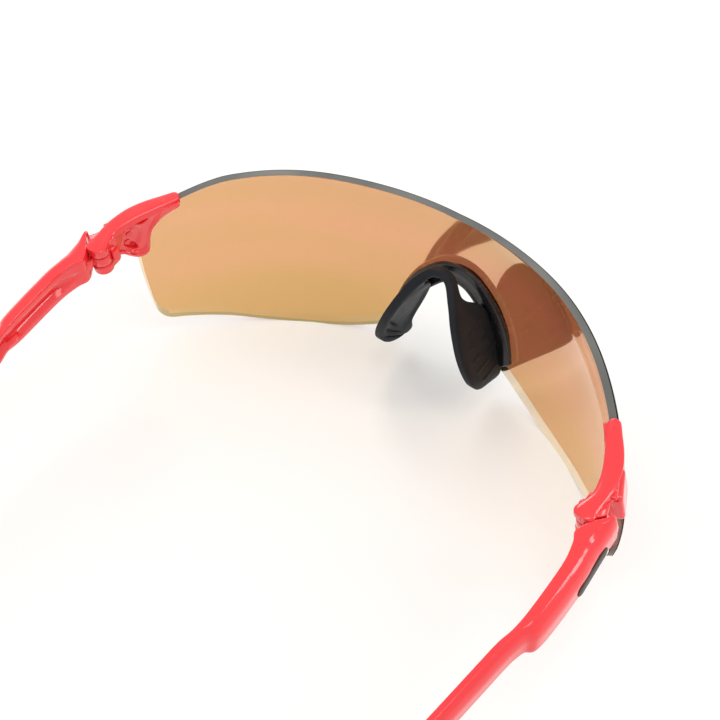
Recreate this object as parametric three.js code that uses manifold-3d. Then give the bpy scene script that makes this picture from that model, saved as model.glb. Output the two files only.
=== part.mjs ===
// Wraparound sport sunglasses: one shield lens, two end pieces, two folding arms, a nose saddle.
// Millimetres. The front faces -Y, the arms run back along +Y, +X is the wearer's left, the table is z = 0.
import * as THREE from 'three';
import { mergeVertices } from 'three/addons/utils/BufferGeometryUtils.js';
import Module from 'manifold-3d';

const wasm = await Module();
wasm.setup();

const degrees = THREE.MathUtils.degToRad;
const V2 = (x, y) => new THREE.Vector2(x, y);
const V3 = (x, y, z) => new THREE.Vector3(x, y, z);

// Driving dimensions
const lensRadius = 71.6;           // inside radius of the wrap, at the widest height
const lensProfileRadius = 98;     // vertical curve of the lens
const lensWidestHeight = 24;      // height at which the lens stands furthest out
const lensThickness = 1.6;
const lensTilt = degrees(-8);     // the top of the lens leans back
const lensTiltRow = 0.6;          // the tilt turns about this share of the radius in front of the centre
const lensTopHeight = 46.6;
const lensTopRise = 2.9;          // how far the top edge arches above its middle
const lensSideWidth = 79;         // half width of the lens, measured round the curve
const lensLobeDrop = 2.3;         // how far the two lower lobes hang under the height datum
const noseCutHeight = 24.6;       // top of the nose opening
const noseCutHalfWidth = 12.5;    // half width of the nose opening at its foot
const fitGap = 0.3;               // gap between parts that touch

const carrierWidth = 2.6;         // how far the nose carrier covers the lens round the opening
const carrierInside = 1.9;        // how far it reaches into the opening
const carrierWall = 1.1;          // wall on each face of the lens
const carrierFoot = 4.6;          // height of its two lower ends

const flangeWall = 1.6;           // end piece, wall inside the lens
const skinWall = 0.9;             // end piece, wall outside the lens tab
const endPieceTop = 46.2;         // height of the end piece along the lens
const endPieceLap = 11.8;         // how far the end piece laps over the lens, measured round the curve
const endPieceFront = lensSideWidth - endPieceLap;
const endPieceReach = 18.8;       // how far it reaches round the curve
const railLength = 20;            // rail that carries the hinge lugs, along the arm's line
const lensShoulder = 43.2;        // height of the lens beside the end piece
const lensTab = { reach: 4.6, low: 35.6, high: 41.6 };  // ear of the lens behind the pocket
const studRadius = 0.7;
const studHead = 0.4;             // how far a stud stands up inside the pocket
const pocketWall = 0.7;           // floor that is left under the pocket

// middle of the left hinge pin: distance behind the front of the end piece, measured round the curve,
// height along the lens, and offset from the lens's inside face
const hingePlace = { reach: 22.82501, height: 40.5312, offset: -3.97854 };
const armDrop = degrees(10.8);    // the arms fall towards the ears
const armHeight = 8;
const armLength = 120;            // from the hinge to the ear tip
const armShoulder = 1.2;          // how far the outside face falls back towards the top edge
const pinRadius = 0.8;
const tongueRadius = 2.3;
const tongueHeight = 2.6;
const lugRadius = 2.6;
const lipReach = 5.2;             // how far the arm's outer lip reaches past the pin
const stemThickness = 3;
const stemHeight = 6.4;
const sockStart = 62;             // distance behind the hinge at which the ear sock begins
const sockWall = 1.1;
const hookStart = 70;
const hookDrop = 14.4;            // how far the tip hooks down below the line of the arm

const padThickness = 2.8;
const padWidth = 8.5;
const padPeg = { radius: 1.2, reach: 4, arc: 12.6, height: 12 };  // pegs that hold the saddle

// Fineness and reach of the bodies that are cut against each other
const wrapSegments = 84;
const wrapRows = 7;
const wrapLow = -8;
const wrapHigh = 56;
const cutFrom = 40;               // distance from the wrap's axis at which a cut through the lens begins
const cutTo = 220;
const clear = 9;                  // half size of a cut that runs clear of the hinge
const roundSides = 28;
const smallSides = 16;

// Solids: closed geometries joined and cut with manifold
function solid(geometry) {
  const bare = geometry.index ? geometry.clone() : mergeVertices(geometry.clone());
  bare.deleteAttribute('normal');
  bare.deleteAttribute('uv');
  const merged = mergeVertices(bare, 1e-4);
  const corners = merged.attributes.position.array;
  const faces = Uint32Array.from(merged.index.array);
  if (signedVolume(corners, faces) < 0) faces.reverse();
  return new wasm.Manifold(new wasm.Mesh({ numProp: 3, vertProperties: corners, triVerts: faces }));
}

function signedVolume(corners, faces) {
  const corner = (i) => V3(corners[3 * i], corners[3 * i + 1], corners[3 * i + 2]);
  let sum = 0;
  for (let i = 0; i < faces.length; i += 3) {
    sum += corner(faces[i]).dot(corner(faces[i + 1]).cross(corner(faces[i + 2]))) / 6;
  }
  return sum;
}

function geometryOf(body) {
  const mesh = body.getMesh();
  const geometry = new THREE.BufferGeometry();
  geometry.setAttribute('position', new THREE.Float32BufferAttribute(mesh.vertProperties, 3));
  geometry.setIndex(new THREE.BufferAttribute(mesh.triVerts, 1));
  geometry.computeVertexNormals();
  return geometry;
}

const join = (bodies) => bodies.reduce((all, body) => all.add(body));

function mirrored(geometry) {
  const copy = geometry.clone().applyMatrix4(new THREE.Matrix4().makeScale(-1, 1, 1));
  copy.index.array.reverse();
  copy.computeVertexNormals();
  return copy;
}

// A section drawn in (u, v), carried along w from 0 to 1 and put in place by a function of the three
function sweep(section, steps, place) {
  const settings = { depth: 1, steps, bevelEnabled: false, curveSegments: 2 };
  const geometry = new THREE.ExtrudeGeometry(section, settings);
  const position = geometry.attributes.position;
  for (let i = 0; i < position.count; i += 1) {
    const point = place(position.getX(i), position.getY(i), position.getZ(i));
    position.setXYZ(i, point.x, point.y, point.z);
  }
  return solid(geometry);
}

function roundedSection(halfWidth, halfHeight, radius) {
  const shape = new THREE.Shape();
  const x = halfWidth - radius;
  const y = halfHeight - radius;
  shape.absarc(x, -y, radius, -Math.PI / 2, 0);
  shape.absarc(x, y, radius, 0, Math.PI / 2);
  shape.absarc(-x, y, radius, Math.PI / 2, Math.PI);
  shape.absarc(-x, -y, radius, Math.PI, Math.PI * 1.5);
  shape.closePath();
  return shape;
}

const smooth = THREE.MathUtils.smoothstep;
const lerp = THREE.MathUtils.lerp;

// Reads a curve through a few (station, value) points at any station
function reader(points) {
  const spline = new THREE.SplineCurve(points.map(([s, value]) => V2(s, value)));
  const samples = spline.getPoints(points.length * 12);
  return (s) => {
    const next = samples.findIndex((point) => point.x >= s);
    if (next === 0) return samples[0].y;
    if (next < 0) return samples[samples.length - 1].y;
    const a = samples[next - 1];
    const b = samples[next];
    return lerp(a.y, b.y, (s - a.x) / (b.x - a.x));
  };
}

// The lens surface: a ring round Z whose profile is an arc, leaning back by the tilt
const bulgeLoss = (height) => (height - lensWidestHeight) ** 2 / (2 * lensProfileRadius);
const lensFrame = new THREE.Matrix4()
  .makeTranslation(0, -lensTiltRow * lensRadius, 0)
  .multiply(new THREE.Matrix4().makeRotationX(lensTilt))
  .multiply(new THREE.Matrix4().makeTranslation(0, lensTiltRow * lensRadius, 0));

function onLens(arc, height, offset) {
  const radius = lensRadius + offset - bulgeLoss(height);
  const angle = arc / lensRadius;
  return V3(radius * Math.sin(angle), -radius * Math.cos(angle), height).applyMatrix4(lensFrame);
}

const hinge = onLens(endPieceFront + hingePlace.reach, hingePlace.height, hingePlace.offset);

function shell(inside, outside, low = wrapLow, high = wrapHigh) {
  const rows = wrapRows;
  const profile = [];
  for (let i = 0; i <= rows; i += 1) {
    const height = lerp(low, high, i / rows);
    profile.push(V2(lensRadius + outside - bulgeLoss(height), height));
  }
  for (let i = rows; i >= 0; i -= 1) {
    const height = lerp(low, high, i / rows);
    profile.push(V2(lensRadius + inside - bulgeLoss(height), height));
  }
  profile.push(profile[0].clone());
  const ring = new THREE.LatheGeometry(profile, wrapSegments).rotateX(Math.PI / 2);
  return solid(ring.applyMatrix4(lensFrame));
}

// An outline in (arc length, height) cut straight through the lens towards the wrap's axis
function radialCut(outline, near = cutFrom, far = cutTo) {
  const settings = { depth: 1, bevelEnabled: false, curveSegments: 8 };
  const geometry = new THREE.ExtrudeGeometry(outline, settings);
  const position = geometry.attributes.position;
  for (let i = 0; i < position.count; i += 1) {
    const angle = position.getX(i) / lensRadius;
    const radius = position.getZ(i) < 0.5 ? near : far;
    position.setXYZ(i, radius * Math.sin(angle), -radius * Math.cos(angle), position.getY(i));
  }
  return solid(geometry.applyMatrix4(lensFrame));
}

// The nose opening, widened by a margin: it flares at its foot and runs out below the lens
function noseShape(margin) {
  const foot = noseCutHalfWidth + margin;
  const top = noseCutHeight + margin;
  const edge = [V2(foot + 7, wrapLow), V2(foot + 2.4, 1), V2(foot + 0.3, 5.5), V2(foot, top * 0.36),
    V2(foot * 0.82, top * 0.6), V2(foot * 0.5, top * 0.83), V2(foot * 0.2, top * 0.97), V2(0, top)];
  const half = new THREE.SplineCurve(edge).getPoints(16);
  const other = half.slice(0, -1).reverse().map((point) => V2(-point.x, point.y));
  return new THREE.Shape([...half, ...other]);
}

function lensOutline(margin = 0) {
  const half = new THREE.Path();
  const side = lensSideWidth + margin;
  const top = lensTopHeight + margin;
  const front = endPieceFront - fitGap + margin;
  half.moveTo(0, top);
  half.splineThru([V2(side * 0.25, top + lensTopRise * 0.36), V2(side * 0.5, top + lensTopRise),
    V2(side * 0.68, top + lensTopRise), V2(side * 0.76, top + lensTopRise * 0.66), V2(front, top - 0.5)]);
  half.lineTo(front, lensShoulder + margin);
  half.lineTo(side, lensShoulder + margin);
  half.lineTo(side, lensTab.high + margin);
  half.lineTo(side + lensTab.reach, lensTab.high + margin);
  half.lineTo(side + lensTab.reach, lensTab.low - margin);
  half.lineTo(side + 0.2, lensTab.low - margin);
  half.bezierCurveTo(side + 0.4, 29, side - 0.4, 20, side - 1.4, 12.5);
  half.bezierCurveTo(side - 2.2, 8, side - 4.6, 6, side - 8.5, 5);
  half.splineThru([V2(side * 0.76, 2), V2(side * 0.64, -0.7), V2(side * 0.5, -lensLobeDrop),
    V2(side * 0.38, -lensLobeDrop + 0.2), V2(side * 0.285, -0.4), V2(side * 0.2, 2.2), V2(0, 6)]);
  const points = half.getPoints(5);
  const other = points.slice(1, -1).reverse().map((point) => V2(-point.x, point.y));
  return new THREE.Shape([...points, ...other]);
}

function lens() {
  const outline = radialCut(lensOutline()).subtract(radialCut(noseShape(0), cutFrom - 10, cutTo + 20));
  const body = shell(0, lensThickness).intersect(outline);
  const holes = [-1, 1].flatMap((side) => studPlaces.map((place) => stud(side, place, fitGap)));
  return body.subtract(join(holes));
}

// Studs that fix the lens tabs to the end pieces, flush with the outside of the lens
const studPlaces = [{ arc: lensSideWidth + 2.1, height: 39.9 }, { arc: lensSideWidth + 2.7, height: 37.3 }];

function stud(side, place, gap = 0) {
  const from = onLens(side * place.arc, place.height, -fitGap - pocketWall - studHead - gap);
  const to = onLens(side * place.arc, place.height, lensThickness + gap);
  return rod(from, to, studRadius + gap, 12);
}

// Nose carrier: a clip of rigid plastic that grips the lens round the nose opening
function noseCarrier() {
  const body = shell(-carrierWall - fitGap, lensThickness + carrierWall + fitGap, carrierFoot);
  const opening = radialCut(noseShape(-carrierInside), cutFrom - 10, cutTo + 20);
  const band = radialCut(noseShape(carrierWidth)).subtract(opening);
  const grip = shell(-fitGap, lensThickness + fitGap).subtract(radialCut(noseShape(-fitGap)));
  return body.intersect(band).subtract(grip).add(pegPair(padPeg.radius, padPeg.reach));
}

// Nose saddle: one soft strip that runs up one pad, over the nose and down the other pad. Its back edge
// is measured back from the front of the lens.
function nosePad() {
  const lensFront = onLens(0, lensWidestHeight, 0).y;
  const backEdge = new THREE.CatmullRomCurve3([[12.6, 9.58, 7], [12.1, 13.38, 13], [10, 15.18, 20],
    [7.4, 14.78, 27.2], [5.1, 13.18, 32.4], [2.6, 11.38, 35.4], [0, 10.78, 36.2]]
    .map(([x, back, z]) => V3(x, lensFront + back, z)));
  const rowWidth = reader([[0, 4], [0.1, padWidth - 0.5], [0.25, padWidth + 4.5], [0.5, padWidth + 4.5],
    [0.68, padWidth * 0.6], [0.82, 3.6], [1, 3.4]]);
  const rowThickness = reader([[0, padThickness - 0.4], [0.15, padThickness], [0.5, padThickness],
    [0.75, padThickness - 0.6], [1, padThickness - 0.7]]);
  const forward = V3(0, -0.97, -0.24).normalize();
  const outward = V3(1, 0, 0);
  const place = (u, v, w) => {
    const side = w < 0.5 ? 1 : -1;
    const along = w < 0.5 ? 2 * w : 2 - 2 * w;
    const point = backEdge.getPoint(along);
    const tangent = backEdge.getTangent(along);
    const across = outward.clone().cross(tangent).cross(tangent).negate();
    across.addScaledVector(forward, -across.dot(forward)).normalize();
    point.addScaledVector(forward, rowWidth(along) * (u + 1) / 2);
    point.addScaledVector(across, rowThickness(along) * v / 2);
    return V3(side * point.x, point.y, point.z);
  };
  const saddle = sweep(roundedSection(1, 1, 0.35), 28, place);
  const seat = shell(-carrierWall - 2 * fitGap, lensThickness + padWidth + 4);
  const socketRadius = padPeg.radius + fitGap;
  const socketReach = padPeg.reach + fitGap;
  return saddle.subtract(seat).subtract(pegPair(socketRadius, socketReach));
}

// The two pegs that hold the saddle, square to the inside of the lens
function pegPair(radius, reach) {
  const pegs = [-1, 1].map((side) => {
    const from = onLens(side * padPeg.arc, padPeg.height, -carrierWall);
    const to = onLens(side * padPeg.arc, padPeg.height, -carrierWall - fitGap - reach);
    return rod(from, to, radius, 12);
  });
  return join(pegs);
}

function rod(from, to, radius, sides) {
  const axis = to.clone().sub(from);
  const geometry = new THREE.CylinderGeometry(radius, radius, axis.length(), sides);
  const turn = new THREE.Quaternion().setFromUnitVectors(V3(0, 1, 0), axis.clone().normalize());
  const middle = from.clone().add(to).multiplyScalar(0.5);
  return solid(geometry.applyQuaternion(turn).translate(middle.x, middle.y, middle.z));
}

// The hinge frame: X outward, Y back along the arm, Z up the pin
const hingeFrame = new THREE.Matrix4().makeTranslation(hinge.x, hinge.y, hinge.z)
  .multiply(new THREE.Matrix4().makeRotationX(-armDrop));
const hingePoint = (x, y, z) => V3(x, y, z).applyMatrix4(hingeFrame);

function hingeRod(low, high, radius, sides) {
  return rod(hingePoint(0, 0, low), hingePoint(0, 0, high), radius, sides);
}

function hingeBlock(xLow, xHigh, yLow, yHigh, zLow, zHigh) {
  const box = new THREE.BoxGeometry(xHigh - xLow, yHigh - yLow, zHigh - zLow);
  box.translate((xLow + xHigh) / 2, (yLow + yHigh) / 2, (zLow + zHigh) / 2);
  return solid(box.applyMatrix4(hingeFrame));
}

// The pin goes in from below, and the top of the end piece is closed over it
const pinLow = -armHeight / 2 + 0.3;
const pinHigh = armHeight / 2 - 0.8;
const tongueGap = tongueHeight / 2 + fitGap;
const railRise = 0.4;             // the end piece stands this much over the arm

function flangeOutline() {
  const top = endPieceTop;
  const front = endPieceFront;
  const shape = new THREE.Shape();
  shape.moveTo(front, top);
  shape.lineTo(front, top - 2.4);
  shape.quadraticCurveTo(front + 0.1, top - 3.7, front + 1.6, top - 4.2);
  shape.bezierCurveTo(front + 5.6, top - 5.6, front + 9, top - 8, front + 8.9, top - 13);
  shape.bezierCurveTo(front + 9.1, top - 16.2, front + 11, top - 16.8, front + 13, top - 15.9);
  shape.quadraticCurveTo(front + 16.4, top - 12.9, front + 19, top - 11.8);
  shape.lineTo(front + 19, top - 0.8);
  return shape;
}

function strip(left, right, low, high) {
  return new THREE.Shape([V2(left, low), V2(right, low), V2(right, high), V2(left, high)]);
}

function pocketOutline() {
  const front = endPieceFront;
  const shape = new THREE.Shape();
  shape.moveTo(front + 12.4, 32);
  shape.lineTo(front + 16.8, 33.6);
  shape.lineTo(front + 17.8, 38);
  shape.quadraticCurveTo(front + 16.8, 41.4, front + 10.8, 42.6);
  shape.quadraticCurveTo(front + 9.2, 42.8, front + 9.8, 41);
  shape.quadraticCurveTo(front + 11.8, 37, front + 12.4, 32);
  return shape;
}

// End piece: red shell round the lens's upper corner, with the hinge lugs behind it
function endPiece() {
  const outline = radialCut(flangeOutline());
  const bandEnd = endPieceFront + endPieceReach;
  const bandCut = (from, low, high) => radialCut(strip(from, bandEnd, low, high), cutFrom + 10);
  const flange = shell(-flangeWall, -fitGap).intersect(outline);
  const topBand = shell(-flangeWall, lensThickness)
    .intersect(bandCut(endPieceFront, lensShoulder + fitGap, endPieceTop)).intersect(outline);
  const backSkin = shell(-flangeWall, lensThickness + fitGap + skinWall)
    .intersect(bandCut(lensSideWidth + 2 * fitGap, endPieceTop - 26, lensTab.high + 1.2)).intersect(outline);
  const lensRoom = shell(-fitGap, lensThickness + fitGap).intersect(radialCut(lensOutline(fitGap)));
  const studHoles = join(studPlaces.map((place) => stud(1, place, fitGap)));
  const pocket = shell(-clear, -fitGap - pocketWall).intersect(radialCut(pocketOutline()));
  const railInner = reader([[-railLength, -5.8], [-16, -4.2], [-12, -2.8], [-7, -2], [0, -2.2]]);
  const railOuter = reader([[-railLength, -3.6], [-16, -1.2], [-12, 1.2], [-7, 2.7], [0, 3.2]]);
  const railBottom = reader([[-railLength, 2], [-14, 0.5], [-9, -3.6], [0, -armHeight / 2]]);
  const rail = sweep(roundedSection(1, 1, 0.3), 12, (u, v, w) => {
    const y = lerp(-railLength, 0, w);
    const lean = (1 - v) * 0.5;
    return hingePoint(lerp(railInner(y), railOuter(y) + lean, (u + 1) / 2), y,
      lerp(railBottom(y), armHeight / 2 + railRise, (v + 1) / 2));
  });
  const lugs = hingeRod(-armHeight / 2, armHeight / 2 + railRise, lugRadius, roundSides);
  const mouth = hingeBlock(-8, 8, -tongueRadius - fitGap - 0.4, 8, -tongueGap, tongueGap);
  const lipRoom = hingeBlock(3.4, clear, -lipReach - 1, 4, -clear, clear);
  const bore = hingeRod(-clear, pinHigh + fitGap, pinRadius + fitGap / 2, smallSides);
  return join([flange, topBand, backSkin, rail, lugs])
    .subtract(join([lensRoom, pocket, mouth, lipRoom, bore, studHoles]));
}

// Arm outline in the hinge frame: inside face, outside face and height along the arm
const armInside = reader([[-lipReach, 3.8], [1.5, 3.5], [4, 0.4], [8, 1.4], [14, 2.1], [28, 1.8], [34, 0.6],
  [42, -0.4], [62, -2.8], [90, -6.3], [armLength, -9.8]]);
const armThickness = reader([[-lipReach, 1.2], [1.5, 2], [4, 5.2], [8, 4.8], [18, 4.4], [26, 4.2],
  [31, stemThickness - 0.2], [36, stemThickness], [62, stemThickness], [armLength, stemThickness]]);
const armTall = reader([[-lipReach, armHeight * 0.8], [0, armHeight], [24, armHeight], [32, stemHeight],
  [50, stemHeight], [62, stemHeight], [armLength, stemHeight]]);
const hookShare = (s) => Math.max(0, s - hookStart) / (armLength - hookStart);
const armLine = (s) => (armHeight - armTall(s)) / 2 - hookDrop * hookShare(s) ** 2;

function armPoint(across, up, s) {
  const turn = Math.atan((armLine(s + 0.5) - armLine(s - 0.5)));
  return hingePoint(armInside(s) + across, s - up * Math.sin(turn), armLine(s) + up * Math.cos(turn));
}

// Sweeps a section along the arm; wider and taller add to the arm's own size all round
function alongArm(from, to, steps, wider, taller, rounding = 0.4, crowding = 1) {
  return sweep(roundedSection(1, 1, rounding), steps, (u, v, w) => {
    const s = lerp(from, to, w ** crowding);
    const grow = wider(s);
    const shoulder = armShoulder * Math.max(0, v) ** 2 * Math.min(1, armThickness(s) / armHeight * 2);
    const across = lerp(-grow, armThickness(s) + grow - shoulder, (u + 1) / 2);
    return armPoint(across, v * (armTall(s) / 2 + taller(s)), s);
  });
}

const none = () => 0;
const sockEnd = armLength - 8;

function armBody() {
  const front = alongArm(-lipReach, sockStart, 22, none, none, 0.35, 1.4);
  const core = alongArm(sockStart - 2, sockEnd, 7, () => -0.5, () => -1, 0.4);
  const lugRoom = hingeRod(-clear, clear, lugRadius + fitGap + 0.1, roundSides);
  const tongue = hingeRod(-tongueHeight / 2, tongueHeight / 2, tongueRadius, roundSides);
  const web = hingeBlock(0, 3.2, -1.2, 4.6, -tongueHeight / 2, tongueHeight / 2);
  const channel = sweep(roundedSection(1, 1, 0.4), 10, (u, v, w) => {
    const s = lerp(6.5, 54, w);
    const opening = smooth(s, 5, 16) * (1 - smooth(s, 48, 55));
    return armPoint(lerp(-3, 1.3 * opening + 0.2, (u + 1) / 2), v * lerp(0.5, 1.9, opening), s);
  });
  const bore = hingeRod(-clear, clear, pinRadius + fitGap / 2, smallSides);
  return join([front.subtract(lugRoom), core, tongue, web]).subtract(join([channel, bore, inlay(fitGap, 3)]));
}

// The plain pill set into the outside of the arm
function inlay(gap = 0, proud = 0.25) {
  const middle = 8.5;
  const depth = 0.9 + gap;
  return sweep(roundedSection(6 + gap, 1.8 + gap, 1.75 + gap), 3, (u, v, w) => {
    const s = middle + u;
    return armPoint(armThickness(s) + lerp(-depth, proud, w), v - 0.8, s);
  });
}

function hingePin() {
  return hingeRod(pinLow, pinHigh, pinRadius, smallSides);
}

// Soft sleeve over the rear of the arm, closed at the tip and cut flat where it rests
function earSock() {
  const fullness = reader([[sockStart, sockWall - 0.5], [70, sockWall], [100, sockWall + 0.3],
    [armLength - 4, sockWall + 0.2], [armLength, -0.3]]);
  const rise = reader([[sockStart, 0.3], [70, 0.6], [100, 1.2], [armLength - 4, 1.2], [armLength, -0.8]]);
  const outside = alongArm(sockStart + fitGap, armLength, 15, fullness, rise, 0.6, 0.8);
  const inside = alongArm(sockStart - 3, sockEnd + fitGap, 7, () => -0.5 + fitGap, () => -1 + fitGap, 0.4);
  const table = new THREE.BoxGeometry(40, 60, 10).translate(hinge.x, hinge.y + armLength, tableHeight - 5);
  return outside.subtract(inside).subtract(solid(table));
}

const red = { color: 0xe8323a, roughness: 0.22, metalness: 0 };
const blackRubber = { color: 0x17171a, roughness: 0.75, metalness: 0 };
const finishes = {
  lens: { color: 0xd9a070, roughness: 0.08, metalness: 0 },
  nose_carrier: { color: 0x141416, roughness: 0.35, metalness: 0 },
  nose_pad: blackRubber,
  lens_stud: { color: 0xd02a32, roughness: 0.3, metalness: 0 },
  end_piece: red,
  arm: red,
  arm_inlay: { color: 0x2a2422, roughness: 0.4, metalness: 0 },
  hinge_pin: { color: 0x8a8c90, roughness: 0.3, metalness: 1 },
  ear_sock: blackRubber,
};

function named(name, geometry, finish) {
  const mesh = new THREE.Mesh(geometry, new THREE.MeshStandardMaterial(finishes[finish]));
  mesh.name = name;
  return mesh;
}

// The glasses stand on the two lobes of the lens and on the ear tips, which are cut level with them
const lensGeometry = geometryOf(lens());
lensGeometry.computeBoundingBox();
const tableHeight = lensGeometry.boundingBox.min.z;

const group = new THREE.Group();
group.add(named('lens', lensGeometry, 'lens'));
group.add(named('nose_carrier', geometryOf(noseCarrier()), 'nose_carrier'));
group.add(named('nose_pad', geometryOf(nosePad()), 'nose_pad'));
for (const [side, word] of [[1, 'left'], [-1, 'right']]) {
  group.add(named(`lens_stud_upper_${word}`, geometryOf(stud(side, studPlaces[0])), 'lens_stud'));
  group.add(named(`lens_stud_lower_${word}`, geometryOf(stud(side, studPlaces[1])), 'lens_stud'));
}
const sided = { end_piece: endPiece, arm: armBody, arm_inlay: inlay, hinge_pin: hingePin, ear_sock: earSock };
for (const [name, make] of Object.entries(sided)) {
  const left = geometryOf(make());
  group.add(named(`${name}_left`, left, name));
  group.add(named(`${name}_right`, mirrored(left), name));
}

// The origin is under the middle of the glasses, on the table
const box = new THREE.Box3().setFromObject(group);
group.position.set(0, -(box.min.y + box.max.y) / 2, -tableHeight);
export default group;
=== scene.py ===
import math
import bpy
import bmesh
from mathutils import Matrix, Vector


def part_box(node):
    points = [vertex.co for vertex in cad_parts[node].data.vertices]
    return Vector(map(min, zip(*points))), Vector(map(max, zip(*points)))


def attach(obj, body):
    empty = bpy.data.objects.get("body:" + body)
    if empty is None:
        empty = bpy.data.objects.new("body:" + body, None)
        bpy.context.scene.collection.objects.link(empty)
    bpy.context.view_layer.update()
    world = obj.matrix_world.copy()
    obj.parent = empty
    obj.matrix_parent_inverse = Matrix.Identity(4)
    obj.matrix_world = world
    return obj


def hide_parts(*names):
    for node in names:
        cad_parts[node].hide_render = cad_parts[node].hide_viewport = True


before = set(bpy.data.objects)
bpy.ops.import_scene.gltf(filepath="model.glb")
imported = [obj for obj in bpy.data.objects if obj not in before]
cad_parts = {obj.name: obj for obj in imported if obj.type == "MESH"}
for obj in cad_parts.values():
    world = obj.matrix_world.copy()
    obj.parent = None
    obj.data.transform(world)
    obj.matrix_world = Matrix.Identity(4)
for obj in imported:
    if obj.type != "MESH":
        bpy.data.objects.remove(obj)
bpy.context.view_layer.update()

mm = 0.001
sides = {"left": 1, "right": -1}

# the frame of the CAD, in mm
hingeSettings = {
    "pin": Vector((63, -15, 37)),     # middle of the left pin before the glasses are centred
    "pinRise": -0.25,                 # the pin's own middle sits this far above it
    "armDrop": math.radians(10.8),
}
hingeTurn = Matrix.Rotation(-hingeSettings["armDrop"], 3, "X")
pinLow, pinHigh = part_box("hinge_pin_left")
pinMiddle = hingeSettings["pin"] + hingeTurn @ Vector((0, 0, hingeSettings["pinRise"]))
shift = (Vector(pinLow) + Vector(pinHigh)) / 2 / mm - pinMiddle

lensShape = {
    "radius": 71.6, "profileRadius": 98, "widest": 24, "tilt": math.radians(-8), "tiltRow": 0.6,
    "thickness": 1.6, "columns": 74, "rows": 22, "rimBevel": 0.3,
    "top": [(0, 46.6), (19.75, 47.64), (39.5, 49.4), (53.72, 49.2), (60.04, 48.1), (69.4, 44.9)],
    "shoulder": (69.5, 43.2), "corner": (79, 43.2), "clearEdgeBelow": 33,
    "nose": [(0, 24.6), (2.5, 23.86), (6.25, 20.42), (10.25, 14.76), (12.5, 8.86), (12.8, 5.5), (14.1, 2.8)],
    "bottom": [(14.1, 2.8), (15.8, 2.2), (22.5, -0.4), (30, -2.1), (39.5, -2.3), (50.6, -0.7), (60, 2),
               (70.5, 5), (74.6, 6.3), (76.7, 8.7), (77.6, 12.5)],
}


def lerp(a, b, t):
    return a + (b - a) * t


def smooth(x, low, high):
    t = min(1, max(0, (x - low) / (high - low)))
    return t * t * (3 - 2 * t)


def curveAt(points, t):
    # a point on the smooth curve through a few points, t from 0 to 1
    place = min(max(t, 0), 1) * (len(points) - 1)
    i = min(int(place), len(points) - 2)
    f = place - i
    p0, p1 = points[max(i - 1, 0)], points[i]
    p2, p3 = points[i + 1], points[min(i + 2, len(points) - 1)]
    made = []
    for a, b, c, d in zip(p0, p1, p2, p3):
        v0, v1 = (c - a) / 2, (d - b) / 2
        made.append((2 * b - 2 * c + v0 + v1) * f ** 3 + (-3 * b + 3 * c - 2 * v0 - v1) * f * f + v0 * f + b)
    return Vector(made)


def reader(points):
    # reads a (station, value) curve at any station
    samples = [curveAt(points, i / (12 * len(points))) for i in range(12 * len(points) + 1)]

    def read(s):
        for a, b in zip(samples, samples[1:]):
            if b[0] >= s:
                return lerp(a[1], b[1], max(0, (s - a[0]) / max(b[0] - a[0], 1e-6)))
        return samples[-1][1]
    return read


def onLens(arc, height, offset=0):
    s = lensShape
    radius = s["radius"] + offset - (height - s["widest"]) ** 2 / (2 * s["profileRadius"])
    angle = arc / s["radius"]
    row = s["tiltRow"] * s["radius"]
    point = Vector((radius * math.sin(angle), row - radius * math.cos(angle), height))
    return Matrix.Rotation(s["tilt"], 3, "X") @ point - Vector((0, row, 0))


def hingePoint(x, s, z):
    return hingeSettings["pin"] + hingeTurn @ Vector((x, s, z))


def squareRing(f, rounding):
    # the point at share f round a square of half width 1, with one rounding for each corner, outer top first
    quarter, t = int(f * 4) % 4, (f * 4) % 1
    before, after = rounding[quarter - 1], rounding[quarter]
    straight = (2 - before - after) / (2 - before - after + (before + after) * math.pi / 4)
    side = (1 - straight) / 2
    if t < side:
        a = -math.pi / 4 * (1 - t / side)
        u, v = 1 - before + before * math.cos(a), -1 + before + before * math.sin(a)
    elif t < side + straight:
        u, v = 1, lerp(before - 1, 1 - after, (t - side) / straight)
    else:
        a = (t - side - straight) / side * math.pi / 4
        u, v = 1 - after + after * math.cos(a), 1 - after + after * math.sin(a)
    for _ in range(quarter):
        u, v = -v, u
    return u, v


def sweepRings(rings, ringSides, place, rounding=(0.3, 0.3, 0.3, 0.3), section=None):
    # a tube of rings from w = 0 to w = 1, each point put in place by a function of (u, v, w)
    bm = bmesh.new()
    bmesh.ops.create_circle(bm, segments=ringSides, radius=1)
    edges = list(bm.edges)
    loops = [list(bm.verts)]
    for _ in range(rings - 1):
        made = bmesh.ops.extrude_edge_only(bm, edges=edges)["geom"]
        edges = [g for g in made if isinstance(g, bmesh.types.BMEdge) and all(v in made for v in g.verts)]
        loops.append([g for g in made if isinstance(g, bmesh.types.BMVert)])
        edges = [e for e in edges if all(v in loops[-1] for v in e.verts)]
    for k, loop in enumerate(loops):
        for i, vert in enumerate(loop):
            u, v = section(i / ringSides) if section else squareRing(i / ringSides, rounding)
            vert.co = place(u, v, k / (rings - 1))
    for loop in (loops[0], loops[-1]):
        bmesh.ops.contextual_create(bm, geom=loop)
    caps = [f for f in bm.faces if len(f.verts) > 4]
    for cap in caps:
        bmesh.ops.inset_individual(bm, faces=[cap], thickness=0.15)
    return bm


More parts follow.
